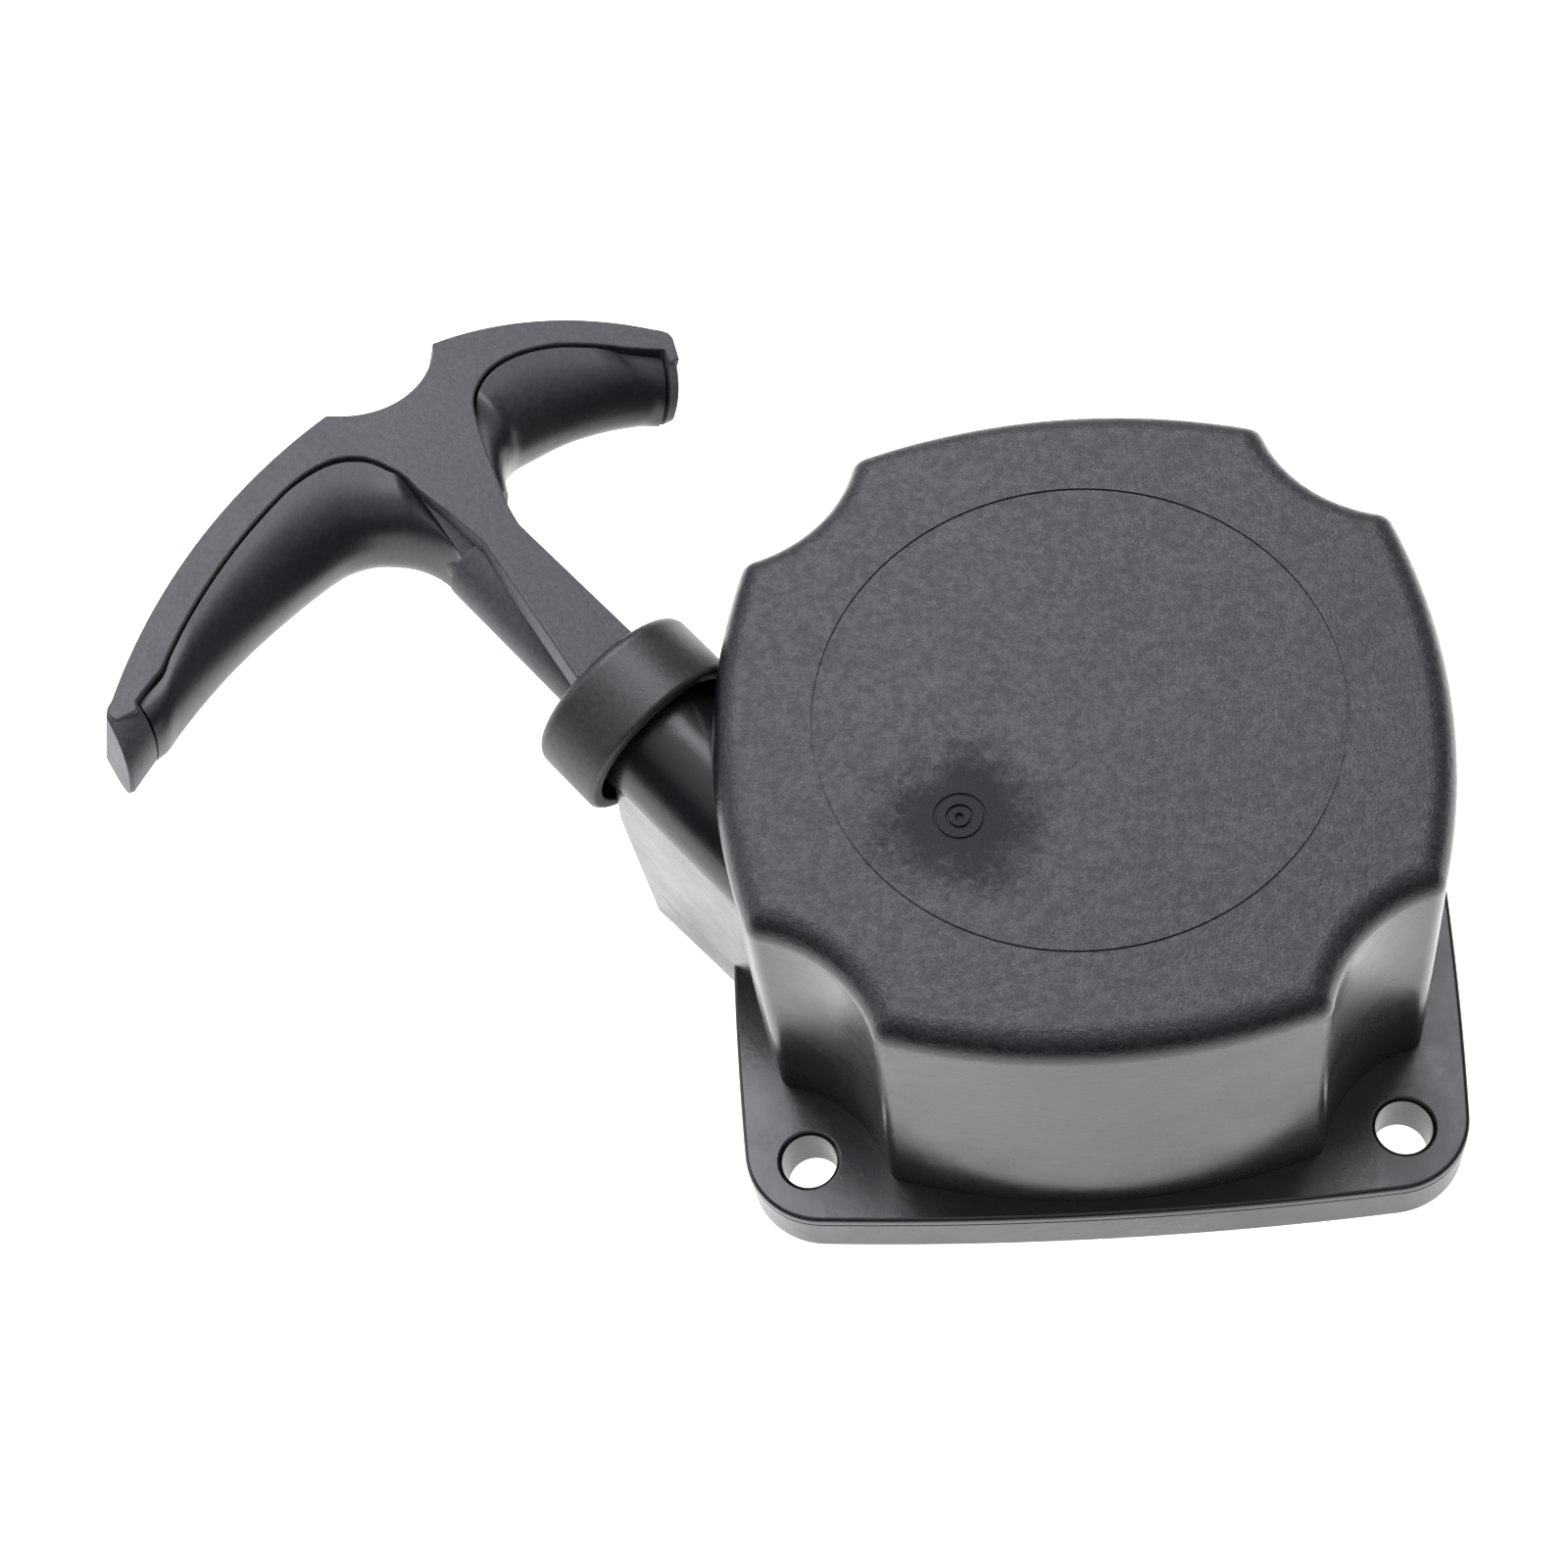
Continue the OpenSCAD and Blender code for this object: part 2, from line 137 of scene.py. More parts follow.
class Solid:
    """A closed mesh in millimetres, shaped by bmesh operators and joined to others."""

    def __init__(self) -> None:
        """Starts empty."""
        self.bm = bmesh.new()

    def ring(self, points: Sequence[Sequence[float]]) -> Ring:
        """Lays a closed loop of edges through points in space and returns its corners in order."""
        verts = [self.bm.verts.new(p) for p in points]
        for a, b in zip(verts, verts[1:] + verts[:1]):
            self.bm.edges.new((a, b))
        return verts

    def _edges(self, ring: Ring) -> list[bmesh.types.BMEdge]:
        """The edges between neighbours of a ring."""
        return [self.bm.edges.get((a, b)) for a, b in zip(ring, ring[1:] + ring[:1])]

    def grow(self, ring: Ring, points: Sequence[Sequence[float]]) -> Ring:
        """Extrudes a ring and lays the new one through points.

        Args:
            ring: The ring to extrude.
            points: As many places as the ring has corners.

        Returns:
            The new ring, in the same order.
        """
        made = bmesh.ops.extrude_edge_only(self.bm, edges=self._edges(ring))["geom"]
        fresh = {v for v in made if isinstance(v, bmesh.types.BMVert)}
        out = []
        for old, place in zip(ring, points):
            new = next(e.other_vert(old) for e in old.link_edges if e.other_vert(old) in fresh)
            new.co = place
            out.append(new)
        return out

    def cap(self, ring: Ring) -> None:
        """Closes a ring with one face."""
        bmesh.ops.contextual_create(self.bm, geom=self._edges(ring))

    def stack(self, rings: Sequence[Sequence[Sequence[float]]]) -> "Solid":
        """Skins a closed body through rings of points that follow each other."""
        first = last = self.ring(rings[0])
        for points in rings[1:]:
            last = self.grow(last, points)
        self.cap(first)
        self.cap(last)
        return self.tidy()

    def lathe(self, profile: Sequence[Point], steps: int = 96, closed: bool = False) -> "Solid":
        """Spins a profile of (radius, height) about Z; an open one starts and ends on the axis."""
        verts = [self.bm.verts.new((r, 0, z)) for r, z in profile]
        edges = [self.bm.edges.new(pair) for pair in zip(verts, verts[1:])]
        if closed:
            edges.append(self.bm.edges.new((verts[-1], verts[0])))
        bmesh.ops.spin(self.bm, geom=verts + edges, cent=(0, 0, 0), axis=(0, 0, 1), dvec=(0, 0, 0),
                       angle=math.tau, steps=steps, use_merge=True, use_duplicate=False)
        return self.tidy()

    def cylinder(self, radius: float, z0: float, z1: float, steps: int) -> "Solid":
        """An upright round bar about Z."""
        return self.lathe([(0, z0), (radius, z0), (radius, z1), (0, z1)], steps)

    def prism(self, outline: Sequence[Point], z0: float, z1: float) -> "Solid":
        """Raises an outline from one height to another."""
        return self.stack([[(x, y, z) for x, y in outline] for z in (z0, z1)])

    def tidy(self) -> "Solid":
        """Merges doubles and points all faces outwards."""
        bmesh.ops.remove_doubles(self.bm, verts=self.bm.verts[:], dist=1e-5)
        bmesh.ops.recalc_face_normals(self.bm, faces=self.bm.faces[:])
        return self

    def place(self, matrix: Matrix) -> "Solid":
        """Moves the whole solid by a matrix."""
        bmesh.ops.transform(self.bm, matrix=matrix, verts=self.bm.verts[:])
        return self

    def slice(self, point: Sequence[float], normal: Sequence[float]) -> "Solid":
        """Cuts away what lies beyond a plane and closes the cut."""
        geom = self.bm.verts[:] + self.bm.edges[:] + self.bm.faces[:]
        cut = bmesh.ops.bisect_plane(self.bm, geom=geom, plane_co=point, plane_no=normal, clear_outer=True)
        rim = [e for e in cut["geom_cut"] if isinstance(e, bmesh.types.BMEdge)]
        bmesh.ops.edgeloop_fill(self.bm, edges=rim)
        return self.tidy()

    def round_edges(self, chosen: Callable[[bmesh.types.BMEdge], bool], size: float, segments: int = 3) -> "Solid":
        """Rounds the edges that a test chooses."""
        edges = [e for e in self.bm.edges if chosen(e)]
        bmesh.ops.bevel(self.bm, geom=edges, offset=size, offset_type="OFFSET", segments=segments,
                        profile=0.5, affect="EDGES", material=-1, clamp_overlap=True)
        return self.tidy()

    def mesh(self, name: str) -> bpy.types.Mesh:
        """A mesh of the solid, still in millimetres."""
        data = bpy.data.meshes.new(name)
        self.bm.to_mesh(data)
        return data

    def join(self, other: "Solid", how: Join) -> "Solid":
        """Adds another solid or cuts it away, with an exact boolean."""
        a = bpy.data.objects.new("joined", self.mesh("joined"))
        b = bpy.data.objects.new("joining", other.mesh("joining"))
        for o in (a, b):
            bpy.context.scene.collection.objects.link(o)
        tool = a.modifiers.new("join", "BOOLEAN")
        tool.operation, tool.solver, tool.object = how.value, "EXACT", b
        done = bpy.data.meshes.new_from_object(a.evaluated_get(bpy.context.evaluated_depsgraph_get()))
        self.bm.clear()
        self.bm.from_mesh(done)
        for o in (a, b):
            data = o.data
            bpy.data.objects.remove(o)
            bpy.data.meshes.remove(data)
        bpy.data.meshes.remove(done)
        bmesh.ops.remove_doubles(self.bm, verts=self.bm.verts[:], dist=1e-4)
        bmesh.ops.dissolve_degenerate(self.bm, edges=self.bm.edges[:], dist=1e-4)
        return self

    def piece(self, name: str, body: str, node: str, finish: "Finish", sharp: float = 32) -> bpy.types.Object:
        """Makes the finished piece that stands for a CAD node.

        Args:
            name: Name of the piece.
            body: CAD body that it rides on.
            node: CAD node that it replaces.
            finish: Its material.
            sharp: Angle in degrees past which an edge stays sharp.

        Returns:
            The new object, in metres.
        """
        bmesh.ops.transform(self.bm, matrix=Matrix.Scale(MM, 4), verts=self.bm.verts[:])
        data = self.mesh(name)
        data.shade_smooth()
        data.set_sharp_from_angle(angle=math.radians(sharp))
        made = bpy.data.objects.new(name, data)
        bpy.context.scene.collection.objects.link(made)
        data.materials.append(finish.material())
        normals = made.modifiers.new("normals", "WEIGHTED_NORMAL")
        normals.keep_sharp = True
        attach(made, body)
        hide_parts(node)
        log.info("%s: %d faces", name, len(data.polygons))
        return made


# ---------------------------------------------------------------- finishes


Value = bpy.types.NodeSocket | float | Sequence[float]


class Graph:
    """Builds one material's nodes."""

    def __init__(self, name: str) -> None:
        """Makes an empty material with its shader."""
        self.made = bpy.data.materials.new(name)
        self.made.use_nodes = True
        self.tree = self.made.node_tree
        self.shader = self.tree.nodes["Principled BSDF"]
        self.place = self.node("ShaderNodeTexCoord").outputs["Object"]

    def node(self, kind: str, **facts: object) -> bpy.types.Node:
        """Adds a node and sets its own properties."""
        made = self.tree.nodes.new(kind)
        for key, value in facts.items():
            setattr(made, key, value)
        return made

    def feed(self, socket: bpy.types.NodeSocket, value: Value) -> None:
        """Links a socket to another, or sets it."""
        if isinstance(value, bpy.types.NodeSocket):
            self.tree.links.new(value, socket)
        else:
            socket.default_value = value

    def math(self, operation: str, *values: Value) -> bpy.types.NodeSocket:
        """A Math node over one to three values."""
        made = self.node("ShaderNodeMath", operation=operation)
        for socket, value in zip(made.inputs, values):
            self.feed(socket, value)
        return made.outputs[0]

    def times(self, a: Value, b: Value) -> bpy.types.NodeSocket:
        """The product of two values."""
        return self.math("MULTIPLY", a, b)

    def vector(self, operation: str, *values: Value, output: str = "Vector") -> bpy.types.NodeSocket:
        """A Vector Math node."""
        made = self.node("ShaderNodeVectorMath", operation=operation)
        for socket, value in zip(made.inputs, values):
            self.feed(socket, value)
        return made.outputs[output]

    def span(self, value: Value, low: float, high: float, to_low: float = 0.0, to_high: float = 1.0,
             smooth: bool = True) -> bpy.types.NodeSocket:
        """Maps a value's range onto another, clamped."""
        made = self.node("ShaderNodeMapRange", interpolation_type="SMOOTHSTEP" if smooth else "LINEAR")
        limits = (("From Min", low), ("From Max", high), ("To Min", to_low), ("To Max", to_high))
        for key, v in (("Value", value), *limits):
            self.feed(made.inputs[key], v)
        return made.outputs[0]

    def noise(self, scale: float, detail: float = 2.0, rough: float = 0.5, place: Value | None = None,
              distortion: float = 0.0) -> bpy.types.NodeSocket:
        """Noise on object coordinates, at a number of cells to the metre."""
        made = self.node("ShaderNodeTexNoise")
        self.feed(made.inputs["Vector"], self.place if place is None else place)
        for key, v in (("Scale", scale), ("Detail", detail), ("Roughness", rough), ("Distortion", distortion)):
            made.inputs[key].default_value = v
        return made.outputs["Fac"]

    def blend(self, share: Value, a: Value, b: Value) -> bpy.types.NodeSocket:
        """Mixes two colours."""
        made = self.node("ShaderNodeMix", data_type="RGBA")
        self.feed(made.inputs[0], share)
        for socket, value in ((made.inputs[6], a), (made.inputs[7], b)):
            self.feed(socket, (*value, 1.0) if isinstance(value, tuple) and len(value) == 3 else value)
        return made.outputs[2]

    def lerp(self, share: Value, a: Value, b: Value) -> bpy.types.NodeSocket:
        """Mixes two numbers."""
        made = self.node("ShaderNodeMix", data_type="FLOAT")
        for socket, value in zip(made.inputs[:1] + made.inputs[2:4], (share, a, b)):
            self.feed(socket, value)
        return made.outputs[0]

    def bump(self, height: Value, strength: float, distance: float) -> bpy.types.NodeSocket:
        """A Bump node."""
        made = self.node("ShaderNodeBump")
        self.feed(made.inputs["Height"], height)
        made.inputs["Strength"].default_value = strength
        made.inputs["Distance"].default_value = distance
        return made.outputs["Normal"]

    def shade(self, **values: Value) -> bpy.types.Material:
        """Feeds the shader's sockets, named with _ for a space, and returns the material."""
        for key, value in values.items():
            self.feed(self.shader.inputs[key.replace("_", " ")], value)
        return self.made


@dataclass(frozen=True)
class Finish:
    """A material that is made once."""

    name: str
    slot: str

    def material(self) -> bpy.types.Material:
        """The finished material."""
        return bpy.data.materials.get(self.name) or self.build(Graph(self.name))

    def build(self, g: Graph) -> bpy.types.Material:
        """Wires the material; each finish has its own way."""
        raise NotImplementedError


@dataclass(frozen=True)
class HousingPlastic(Finish):
    """Black moulded plastic: grained on the dome's top, glossy on the walls and the flange."""

    grain_from: float = 46.2
    flange_top: float = 8.2
    top: float = 50.0
    gate: Point = (-13.64, -12.37)
    # Heights of the painted shade band on the rounding of the top edge.
    painted_shade_heights: Point = (48.3, 49.75)
    flow_reach: Point = (0.0050, 0.0118)
    fine_cells: float = 2600.0
    coarse_cells: float = 1050.0
    relief: float = 0.00022
    top_tone: Colour = (0.0155, 0.0150, 0.0190)
    wall_tone: Colour = (0.009, 0.009, 0.011)
    flange_tone: Colour = (0.010, 0.0105, 0.014)
    # Colour of the painted shade band on the rounding of the top edge.
    painted_shade_tone: Colour = (0.002, 0.002, 0.003)
    # Colour of the flow mark round the gate: a real mark, with the dark reflection of its gloss painted in.
    flow_mark_reflection_tone: Colour = (0.003, 0.003, 0.005)
    fleck_tone: Colour = (0.16, 0.16, 0.17)

    def build(self, g: Graph) -> bpy.types.Material:
        """Mixes the regions by height, then adds grain, a painted shade band along the rounding of the top edge, the
        flow mark of the gate with its dark reflection painted in, and scuffs.
        """
        axes = g.node("ShaderNodeSeparateXYZ")
        g.feed(axes.inputs[0], g.place)
        height = axes.outputs["Z"]
        wander = g.times(g.math("SUBTRACT", g.noise(260, 4, 0.65), 0.5), 0.0028)
        grained = g.span(g.math("ADD", height, wander), (self.grain_from - 0.5) * MM, (self.grain_from + 0.9) * MM)
        on_flange = g.span(height, (self.flange_top + 0.05) * MM, (self.flange_top + 0.15) * MM, 1.0, 0.0)

        # Mask of the flow mark round the gate; it carries both the real mark and its painted dark reflection.
        away = g.vector("SUBTRACT", g.place, (self.gate[0] * MM, self.gate[1] * MM, self.top * MM))
        reach = g.vector("LENGTH", away, output="Value")
        rays = g.noise(700, 5, 0.75, distortion=1.2)
        broad = g.noise(110, 2, 0.5)
        ragged = g.math("ADD", reach, g.math("ADD", g.times(g.math("SUBTRACT", rays, 0.5), 0.0125),
                                             g.times(g.math("SUBTRACT", broad, 0.5), 0.010)))
        flow = g.times(g.span(ragged, *self.flow_reach, 1.0, 0.0), grained)

        fine = g.noise(self.fine_cells, 3, 0.7)
        coarse = g.noise(self.coarse_cells, 2, 0.6)
        cloud = g.noise(38, 3, 0.55)
        speckle = g.times(g.span(fine, 0.34, 0.68, 0.40, 1.75, smooth=False),
                         g.span(cloud, 0.3, 0.7, 0.88, 1.12))
        top = g.vector("SCALE", self.top_tone, output="Vector")
        g.feed(top.node.inputs["Scale"], speckle)
        wall = g.blend(on_flange, self.wall_tone, self.flange_tone)
        tone = g.blend(grained, wall, top)
        # Painted shade: the lower part of the grained rounding along the top edge is darkened, and also made glossier
        # and smoother.
        low, high = self.painted_shade_heights
        painted_shade = g.times(grained, g.span(height, low * MM, high * MM, 1.0, 0.0))
        tone = g.blend(g.times(painted_shade, 0.75), tone, self.painted_shade_tone)
        # Flow mark round the gate, darkened with a painted dark reflection.
        tone = g.blend(g.times(flow, 0.82), tone, self.flow_mark_reflection_tone)
        flecks = g.span(g.noise(420, 6, 0.8), 0.735, 0.80)
        tone = g.blend(g.times(flecks, 0.5), tone, self.fleck_tone)

        peel = g.noise(900, 3, 0.6)
        rubbed = g.noise(60, 5, 0.7)
        smooth = g.lerp(on_flange, g.span(rubbed, 0.3, 0.7, 0.19, 0.30), g.span(rubbed, 0.3, 0.7, 0.20, 0.34))
        rough = g.lerp(grained, smooth, g.span(coarse, 0.3, 0.7, 0.40, 0.54))
        rough = g.lerp(painted_shade, rough, g.span(coarse, 0.3, 0.7, 0.20, 0.27))
        rough = g.lerp(flow, rough, 0.74)

        grain = g.times(g.math("ADD", g.times(fine, 0.6), g.times(coarse, 0.55)),
                       g.math("SUBTRACT", grained, g.times(painted_shade, 0.7)))
        skin = g.times(g.math("SUBTRACT", 1.0, grained), g.times(peel, 0.10))
        waves = g.math("SINE", g.times(reach, 2600.0))
        swirl = g.times(waves, g.span(reach, 0.002, 0.009, 0.05, 0.0))
        relief = g.math("ADD", g.math("ADD", grain, skin), g.times(swirl, grained))
        normal = g.bump(relief, 0.75, self.relief)
        return g.shade(Base_Color=tone, Roughness=rough, Normal=normal, IOR=1.5)


@dataclass(frozen=True)
class SatinPlastic(Finish):
    """Plain black moulded plastic with a fine skin, faint streaks and rubbed patches."""

    tone: Colour = (0.03, 0.03, 0.033)
    rough: float = 0.45
    skin: float = 0.35
    grain: float = 1500.0

    def build(self, g: Graph) -> bpy.types.Material:
        """Varies the tone and the gloss a little and raises a fine skin."""
        fine = g.noise(self.grain, 3, 0.65)
        cloud = g.noise(55, 4, 0.6)
        stretch = g.vector("MULTIPLY", g.place, (30.0, 160.0, 160.0))
        streak = g.noise(4, 3, 0.6, place=stretch)
        lift = g.times(g.span(fine, 0.3, 0.7, 0.80, 1.22), g.span(cloud, 0.3, 0.7, 0.90, 1.12))
        tone = g.vector("SCALE", self.tone, output="Vector")
        g.feed(tone.node.inputs["Scale"], lift)
        flecks = g.span(g.noise(380, 6, 0.8), 0.74, 0.80)
        tone = g.blend(g.times(flecks, 0.35), tone, (0.15, 0.15, 0.16))
        rough = g.math("ADD", g.span(cloud, 0.3, 0.7, self.rough - 0.05, self.rough + 0.06),
                       g.times(g.math("SUBTRACT", streak, 0.5), 0.08))
        return g.shade(Base_Color=tone, Roughness=rough, Normal=g.bump(fine, self.skin, 0.00010), IOR=1.5)


@dataclass(frozen=True)
class Metal(Finish):
    """Metal with brushed or tumbled marks and darker patches."""

    tone: Colour = (0.6, 0.61, 0.63)
    rough: float = 0.32
    marks: tuple[float, float, float] = (1.0, 1.0, 1.0)
    patina: float = 0.25

    def build(self, g: Graph) -> bpy.types.Material:
        """Streaks the gloss along the marks and stains the tone in patches."""
        lines = g.noise(900, 4, 0.7, place=g.vector("MULTIPLY", g.place, self.marks))
        patches = g.noise(150, 5, 0.65)
        stain = g.times(g.span(patches, 0.45, 0.75), self.patina)
        tone = g.blend(stain, self.tone, tuple(c * 0.35 for c in self.tone))
        rough = g.span(lines, 0.25, 0.75, self.rough - 0.09, self.rough + 0.14)
        return g.shade(Base_Color=tone, Roughness=rough, Metallic=1.0, Normal=g.bump(lines, 0.25, 0.00006))


@dataclass(frozen=True)
class Braid(Finish):
    """Braided rope; a piece with its own UV map has its strands along it."""

    tone: Colour = (0.62, 0.60, 0.54)
    mapped: bool = False
    turn: float = 6.2832
    strands: int = 4

    def build(self, g: Graph) -> bpy.types.Material:
        """Crosses two sets of strands, paints shade into the gaps between them and adds fuzz."""
        axes = g.node("ShaderNodeSeparateXYZ")
        if self.mapped:
            g.feed(axes.inputs[0], g.node("ShaderNodeTexCoord").outputs["UV"])
            along, around = axes.outputs["X"], axes.outputs["Y"]
        else:
            g.feed(axes.inputs[0], g.place)
            turn = g.math("ARCTAN2", axes.outputs["Y"], axes.outputs["X"])
            along, around = g.times(turn, 26.0), g.times(axes.outputs["Z"], 380.0)
        waves = []
        for sign in (1.0, -1.0):
            phase = g.math("ADD", g.times(along, self.turn),
                           g.times(around, self.turn * self.strands * sign))
            waves.append(g.math("ABSOLUTE", g.math("SINE", phase)))
        strand = g.times(*waves)
        fibre = g.noise(3200, 3, 0.7)
        height = g.math("ADD", g.math("POWER", strand, 0.5), g.times(fibre, 0.25))
        grey = g.noise(90, 4, 0.6)
        # Painted shade: the gaps between the strands are darkened.
        tone = g.blend(g.span(strand, 0.0, 0.45), tuple(c * 0.42 for c in self.tone), self.tone)
        tone = g.blend(g.span(grey, 0.45, 0.8, 0.0, 0.35), tone, (0.30, 0.29, 0.27))
        g.shader.inputs["Sheen Weight"].default_value = 0.25
        return g.shade(Base_Color=tone, Roughness=0.85, Normal=g.bump(height, 0.8, 0.0002))


class Finishes:
    """The finishes of the whole starter."""

    housing = HousingPlastic("housing plastic", "moulded_black")
    collar = SatinPlastic("collar plastic", "handle_black", tone=(0.030, 0.029, 0.031), rough=0.44, skin=0.30)
    handle = SatinPlastic("handle plastic", "handle_black", tone=(0.055, 0.053, 0.060), rough=0.50, skin=0.45)
    grip = SatinPlastic("grip plastic", "grip_black", tone=(0.018, 0.018, 0.022), rough=0.37, skin=0.16)
    reel = SatinPlastic("reel plastic", "reel_black", tone=(0.036, 0.036, 0.038), rough=0.42, skin=0.30)
    rope = Braid("braided rope", "rope", mapped=True)
    wound = Braid("wound rope", "rope")
    zinc = Metal("bright zinc", "zinc_steel", tone=(0.60, 0.61, 0.63), rough=0.34)
    spring = Metal("spring steel", "spring_steel", tone=(0.20, 0.21, 0.24), rough=0.30, marks=(1.0, 1.0, 0.08))
    sintered = Metal("sintered steel", "sintered_steel", tone=(0.26, 0.26, 0.27), rough=0.50, patina=0.5)
    brass = Metal("turned brass", "brass", tone=(0.72, 0.53, 0.24), rough=0.28, marks=(0.1, 0.1, 1.0))


# ---------------------------------------------------------------- where things are


@dataclass(frozen=True)
class PullLine:
    """The rope's way out: a level line beside the reel that bends up into the tilted nozzle."""

    direction: float = 132.3
    offset: float = 31.2
    bend_at: float = 12.75
    height: float = 33.5
    tilt: float = 11.7
    roll: float = 14.0

    def level(self) -> Matrix:
        """Frame of the level line: +X along the pull, +Y outwards."""
        return Matrix.Rotation(math.radians(self.direction), 4, "Z") @ Matrix.Translation((0, self.offset, 0))

    def plane(self, x: float, side: int = 1) -> tuple[Vector, Vector]:
        """A plane across the level line, facing along the pull or back."""
        level = self.level()
        return level @ Vector((x, 0, 0)), level.to_3x3() @ Vector((side, 0, 0))

    def pull(self) -> Matrix:
        """Frame of the tilted line, from the bend."""
        return (self.level() @ Matrix.Translation((self.bend_at, 0, self.height))
                @ Matrix.Rotation(math.radians(-self.tilt), 4, "Y"))

    def handle(self) -> Matrix:
        """Frame of the handle, turned about the rope."""
        return self.pull() @ Matrix.Rotation(math.radians(self.roll), 4, "X")

    def rod(self, x0: float, x1: float, radius: float, edge: float = 0.0, steps: int = 64) -> Solid:
        """A round bar along +X between two places, with rounded ends if edge is given."""
        if edge:
            ends = arc((radius - edge, x0 + edge), edge, -90, 0, 4) + arc((radius - edge, x1 - edge), edge, 0, 90, 4)
        else:
            ends = [(radius, x0), (radius, x1)]
        return Solid().lathe([(0, x0), *ends, (0, x1)], steps).place(Matrix.Rotation(math.pi / 2, 4, "Y"))


@dataclass(frozen=True)
class DomePlan:
    """Outline of the dome: four bowed walls with a round scallop at each corner."""

    half: float = 42.3
    bow: float = 77.5
    scallop_at: float = 40.8
    scallop_r: float = 15.5
    lean: float = 1.0

    def outline(self, share: float, inset: float, corner: float) -> list[Point]:
        """The outline at a share of the height, moved inwards, with rounded corners."""
        leaned = self.lean * share
        a, b = (self.half - self.bow, 0.0), (self.scallop_at, self.scallop_at)
        ra, rb = self.bow - leaned - inset, self.scallop_r + 1.5 * leaned + inset
        v = crossing(a, ra - corner, b, rb + corner)
        a1, a2 = bearing(a, v), bearing(v, b)
        return four_quarters(arc(a, ra, 0, a1, 16) + arc(v, corner, a1, a2, 7)[1:] + arc(b, rb, a2 + 180, 225, 12)[1:])


@dataclass(frozen=True)
class FlangePlan:
    """Outline of the flange: a square with slightly bowed sides and round corners."""

    half: float = 44.0
    bow: float = 1.4

    def outline(self, inset: float, corner: float) -> list[Point]:
        """The outline, moved inwards."""
        r = 36 * 36 / (2 * self.bow)
        a, b = (self.half - r, 0.0), (0.0, self.half - r)
        v = crossing(b, r - inset - corner, a, r - inset - corner)
        a1 = bearing(a, v)
        return four_quarters(arc(a, r - inset, 0, a1, 12) + arc(v, corner, a1, 45, 8)[1:])


# ---------------------------------------------------------------- sub-assemblies


